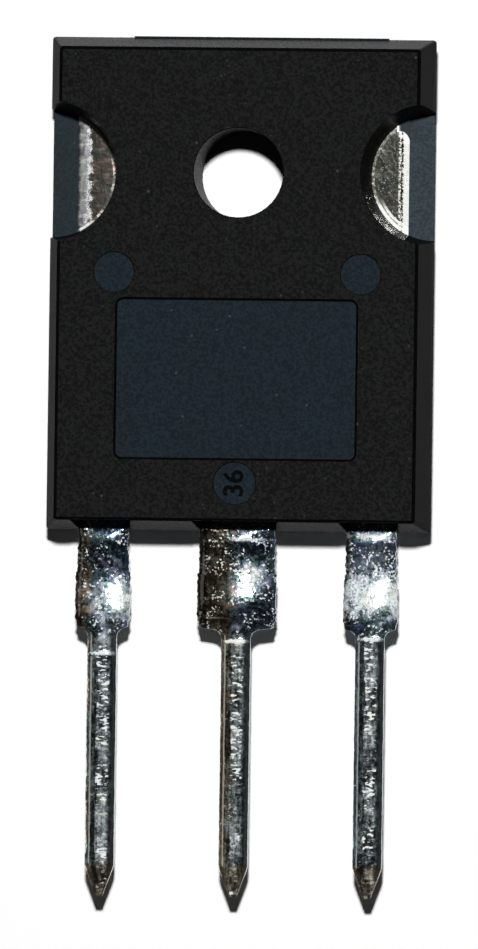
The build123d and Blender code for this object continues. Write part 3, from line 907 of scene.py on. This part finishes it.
def coated_lead(x, wide_half, seed, crest_y, ridge_y):
    """Points and faces of a lead's outside part, with the solder's own shape on it."""
    outline = lead_outline(wide_half)
    half, y = outline[:, 0], outline[:, 1]
    outside = ramp(y, *COAT_STARTS)
    wide = 1 - ramp(y, *PIN_STARTS)
    tip = ramp(y, *TIP_STARTS)
    uneven = sum(
        lumps([(shift, v, 0) for v in y], size, seed) * reach for shift, size, reach in EDGE_WAVES
    )
    half = half + uneven * outside * (PIN_EDGE_WAVES + (1 - PIN_EDGE_WAVES) * wide) * (1 - tip)

    shrink = np.clip((y - TAPER_Y) / (TIP_Y - TAPER_Y), 0, 1)
    thickness = LEAD_THICKNESS + (TIP_THICKNESS - LEAD_THICKNESS) * shrink
    scale = thickness / LEAD_THICKNESS
    bevel, bevel_depth = BEVEL * np.sqrt(scale), BEVEL_DEPTH * scale
    rise = coat_rise(y, tip, crest_y, ridge_y)
    crown = (wide / WIDE_CROWN_R + (1 - wide) / CROWN_R) / 2

    across = np.sin(np.linspace(-math.pi / 2, math.pi / 2, COLUMNS))
    edge_line = np.concatenate([outline, outline * (-1, 1)])
    middle = LEAD_BACK_Z + LEAD_THICKNESS / 2
    rings = []
    for i in range(len(y)):
        xs = half[i] * across
        flat = np.stack([xs, np.full(COLUMNS, y[i])], axis=1)
        away = np.sqrt(((flat[:, None, :] - edge_line[None, :, :]) ** 2).sum(2)).min(1)
        away = np.minimum(away, half[i] - np.abs(xs))
        drop = bevel_depth[i] * np.clip(1 - away / bevel[i], 0, 1) ** BEVEL_POWER
        arch = crown[i] * xs**2 * outside[i]
        top = middle + thickness[i] / 2 + rise[i] - drop - arch
        low = middle - thickness[i] / 2 + drop + BACK_CROWN * arch
        low = np.minimum(low, top - EDGE_THICKNESS)
        front = np.stack([xs, flat[:, 1], top], axis=1)
        back = np.stack([xs, flat[:, 1], low], axis=1)[::-1]
        left = (front[0] + back[-1])[None] / 2
        right = (front[-1] + back[0])[None] / 2
        rings.append(np.concatenate([front, right, back, left]))
    points = np.concatenate(rings)
    count = len(rings[0])

    # The lumps push the front and back out and in, and the sides a little.
    relief = np.repeat(outside * (1 - (1 - TIP_LUMPS) * tip), count)
    lumpy = relief * sum(
        lumps(points, size, seed + more) * height for size, height, more in COAT_LUMPS
    )
    facing = np.concatenate([np.ones(COLUMNS), [0], -np.ones(COLUMNS), [0]])
    sideways = np.concatenate([across, [1], across[::-1], [-1]])
    points[:, 2] += lumpy * np.tile(facing, len(rings))
    points[:, 0] += SIDE_LUMPS * lumpy * np.tile(sideways * np.abs(sideways) ** 3, len(rings))
    points[:, 0] += x
    return points, count


def lofted(target, points, count):
    """Adds the skin through rings of points, closed at both ends."""
    verts = [target.verts.new(p) for p in points]
    rings = [verts[i : i + count] for i in range(0, len(verts), count)]
    for first, second in zip(rings, rings[1:]):
        for k in range(count):
            n = (k + 1) % count
            target.faces.new((first[k], second[k], second[n], first[n]))
    target.faces.new(rings[0])
    target.faces.new(rings[-1][::-1])


def cut_off(copied, place, outward):
    """Cuts away what lies past a plane and closes the cut."""
    bmesh.ops.bisect_plane(
        copied,
        geom=[*copied.verts, *copied.edges, *copied.faces],
        plane_co=place,
        plane_no=outward,
        clear_outer=True,
    )
    edge_shade = [edge for edge in copied.edges if edge.is_boundary]
    if edge_shade:
        bmesh.ops.contextual_create(copied, geom=edge_shade)


def lead_piece(node, pin, wide_half, seed, crest_y, ridge_y, brown, painted_highlights, slot_name):
    """One lead: its part inside the body from the CAD node, its outside coated."""
    x = PINS[pin]
    copied = copy_in_millimetres(node)
    cut_off(copied, (0, LEAD_INNER_Y, 0), (0, -1, 0))
    inner = len(copied.faces)
    points, count = coated_lead(x, wide_half, seed, crest_y, ridge_y)
    lofted(copied, points, count)
    copied.faces.ensure_lookup_table()
    for face in copied.faces[inner:]:
        face.material_index = 1
    bmesh.ops.recalc_face_normals(copied, faces=copied.faces[inner:])
    # The coat's ridge gets a patch of painted highlight too.
    ridge = (RIDGE_X, ridge_y, *RIDGE_HIGHLIGHT)
    solder = dipped_solder(node + "_solder", x, wide_half, brown, painted_highlights + [ridge])
    piece = add_piece(node + "_coated", copied, [TIN, solder])
    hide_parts(node)


def notch_metal(side):
    """The plated metal that one notch leaves bare, with its sheared ledge and rolling marks."""
    inner, outer = INSERT_INNER_X, PLATE_HALF_WIDTH
    count = round((outer - inner) / INSERT_STEP)
    xs = np.linspace(inner, outer, count + 1)
    ys = np.arange(-INSERT_HALF_LENGTH, INSERT_HALF_LENGTH + INSERT_STEP, INSERT_STEP)
    points = []
    for y in ys:
        top = np.full(len(xs), PLATE_TOP_Z + PLATING_PROUD)
        if side > 0:
            sway = LEDGE_SWAY * lumps([(0, y, 0)], LEDGE_SWAY_SIZE, 5)[0]
            ledge_x = outer - LEDGE_WIDTH + sway
            top -= LEDGE_STEP * ramp(xs, ledge_x - LEDGE_SLOPE, ledge_x)
        else:
            top -= ROLLED_DROP * np.clip((xs - outer) / ROLLED_WIDTH + 1, 0, 1) ** 2
        row = np.stack([side * xs, np.full(len(xs), y), top], axis=1)
        row[:, 2] += sum(
            lumps(row, size, seed + side) * height for size, height, seed in PLATE_LUMPS
        )
        below = [(side * outer, y, INSERT_BOTTOM_Z), (side * inner, y, INSERT_BOTTOM_Z)]
        points.append(np.concatenate([row, below]))
    metal = bmesh.new()
    lofted(metal, np.concatenate(points), len(points[0]))
    bmesh.ops.recalc_face_normals(metal, faces=metal.faces)
    name = "notch_metal_right" if side > 0 else "notch_metal_left"
    add_piece(name, metal, [rolled_tin(name, side)])


# ---------------------------------------------------------------- the part

TIN = satin_tin()

moulded_body()
cavity_number()
for side in (-1, 1):
    notch_metal(side)

# Each lead's mount, half width, seed, the crest and ridge of its coat along Y, and how far from
# its centre line the brown stain on its left ends. Then its patches of painted highlight: how far
# from its centre line, where along Y, their reach along X and Y, and how strong they are.
LEADS = {
    "gate_lead": {
        "pin": "gate_pin",
        "wide_half": OUTER_WIDE_HALF,
        "seed": 1,
        "crest_y": -17.9,
        "ridge_y": -19.55,
        "brown": -0.35,
        "painted_highlights": [
            (0.75, -17.35, 2.3, 1.45, 1.0),
            (-0.1, -14.8, 1.2, 0.32, 0.4),
            (0.15, -18.8, 0.35, 0.9, 0.4),
        ],
        "slot_name": "solder_dipped_lead",
    },
    "source_lead": {
        "pin": "source_pin",
        "wide_half": OUTER_WIDE_HALF,
        "seed": 2,
        "crest_y": -17.7,
        "ridge_y": -18.85,
        "brown": -0.9,
        "painted_highlights": [
            (0.2, -17.1, 3.2, 1.4, 1.3),
            (0.1, -14.66, 1.5, 0.32, 1.0),
            (0.1, -15.6, 1.6, 1.3, 0.35),
            (0.3, -18.4, 0.4, 0.5, 0.4),
        ],
        "slot_name": "solder_dipped_lead",
    },
    "drain_tab": {
        "pin": "drain_pin",
        "wide_half": CENTRE_WIDE_HALF,
        "seed": 3,
        "crest_y": -17.4,
        "ridge_y": -19.0,
        "brown": 0.0,
        "painted_highlights": [
            (0.7, -16.4, 0.95, 0.95, 1.0),
            (0.0, -16.9, 0.9, 1.3, 0.5),
            (0.4, -14.85, 1.5, 0.13, 1.2),
            (0.2, -14.62, 1.6, 0.2, 0.35),
            (0.0, -18.4, 0.35, 0.3, 0.6),
            (-0.9, -18.05, 0.6, 0.07, 0.5),
        ],
        "slot_name": "tinned_copper",
    },
}
for node, lead in LEADS.items():
    lead_piece(node, **lead)

DIE = plain_metal("die_metal", linear(120, 124, 138), linear(150, 152, 160), 0.4, 0.3)
SOLDER = plain_metal("die_attach_solder", linear(140, 140, 142), linear(165, 165, 166), 0.15, 0.4)
WIRE = plain_metal("aluminium_wire", linear(205, 205, 207), linear(225, 225, 226), 0.05, 0.3)
INNER_FINISHES = {
    "silicon_die": DIE,
    "die_solder": SOLDER,
    "gate_bond_wire": WIRE,
    "source_bond_wire_1": WIRE,
    "source_bond_wire_2": WIRE,
}
for node, material in INNER_FINISHES.items():
    mesh = frame["nodes"][node].data
    mesh.materials.clear()
    mesh.materials.append(material)


# ---------------------------------------------------------------- floor, light, camera

FLOOR_HALF = 400
FLOOR_DROP = 0.02
FLOOR_CORNERS = ((-1, -1), (1, -1), (1, 1), (-1, 1))
floor_mesh = bpy.data.meshes.new("floor")
floor_mesh.from_pydata(
    [(x * FLOOR_HALF * MM, y * FLOOR_HALF * MM, -FLOOR_DROP * MM) for x, y in FLOOR_CORNERS],
    [],
    [(0, 1, 2, 3)],
)
floor_mesh.materials.append(paper())
floor = bpy.data.objects.new("floor", floor_mesh)
bpy.context.scene.collection.objects.link(floor)

VIEW_CENTRE = Vector((0.19, -12.26, FRONT_Z))
LAMP_DISTANCE = 400


def towards(tilt_x, tilt_y):
    """Unit direction tilted from straight up, in degrees towards +X and +Y."""
    return Vector((math.tan(math.radians(tilt_x)), math.tan(math.radians(tilt_y)), 1)).normalized()


def disk_lamp(name, direction, size, energy):
    data = bpy.data.lights.new(name, "AREA")
    data.shape = "DISK"
    data.size = size * MM
    data.energy = energy
    lamp = bpy.data.objects.new(name, data)
    lamp.location = (VIEW_CENTRE + direction * LAMP_DISTANCE) * MM
    lamp.rotation_euler = direction.to_track_quat("Z", "Y").to_euler()
    bpy.context.scene.collection.objects.link(lamp)
    return lamp


KEY_TILT = (3.2, 10.3)
KEY_SIZE = 18
KEY_LEVEL = 1.05  # irradiance over pi at the part
key_energy = KEY_LEVEL * (math.pi * LAMP_DISTANCE * MM) ** 2
key = disk_lamp("key", towards(*KEY_TILT), KEY_SIZE, key_energy)

# The fill shows in reflections only.
FILL_TILT = (-50, 10)
FILL_SIZE = 260
FILL_RADIANCE = 0.3
fill_energy = FILL_RADIANCE * (math.pi * FILL_SIZE / 2 * MM) ** 2
fill = disk_lamp("fill", towards(*FILL_TILT), FILL_SIZE, fill_energy)
fill.visible_diffuse = False

# The world is white to the camera. It lights the part weakly, and more from the sides.
ZENITH_LEVEL, HORIZON_LEVEL = 0.006, 0.035
world = bpy.data.worlds.new("studio")
world.use_nodes = True
bpy.context.scene.world = world
tree = world.node_tree
background = tree.nodes["Background"]
background.inputs["Color"].default_value = WHITE
direction = tree.nodes.new("ShaderNodeTexCoord")
split = tree.nodes.new("ShaderNodeSeparateXYZ")
tree.links.new(direction.outputs["Generated"], split.inputs["Vector"])
level = tree.nodes.new("ShaderNodeMapRange")
tree.links.new(split.outputs["Z"], level.inputs["Value"])
level.inputs["To Min"].default_value = HORIZON_LEVEL
level.inputs["To Max"].default_value = ZENITH_LEVEL
rays = tree.nodes.new("ShaderNodeLightPath")
strength = tree.nodes.new("ShaderNodeMath")
strength.operation = "MAXIMUM"
tree.links.new(level.outputs["Result"], strength.inputs[0])
tree.links.new(rays.outputs["Is Camera Ray"], strength.inputs[1])
tree.links.new(strength.outputs["Value"], background.inputs["Strength"])

VIEW_DISTANCE = 700
VIEW_HEIGHT = 38.5  # what the frame's long side takes in
VIEW_TILT = (4.1, -1.5)
VIEW_ROLL = math.radians(0.78)
CLIP_RANGE = (1, 10000)
camera_data = bpy.data.cameras.new("camera")
camera_data.sensor_width = 36
camera_data.lens = camera_data.sensor_width * VIEW_DISTANCE / VIEW_HEIGHT
camera_data.clip_start, camera_data.clip_end = (distance * MM for distance in CLIP_RANGE)
camera = bpy.data.objects.new("camera", camera_data)
back = towards(*VIEW_TILT)
up = Vector((-math.sin(VIEW_ROLL), math.cos(VIEW_ROLL), 0))
right = up.cross(back).normalized()
up = back.cross(right)
camera.location = (VIEW_CENTRE + back * VIEW_DISTANCE) * MM
camera.rotation_euler = Matrix((right, up, back)).transposed().to_euler()
bpy.context.scene.collection.objects.link(camera)
bpy.context.scene.camera = camera
bpy.context.scene.view_settings.view_transform = "Standard"
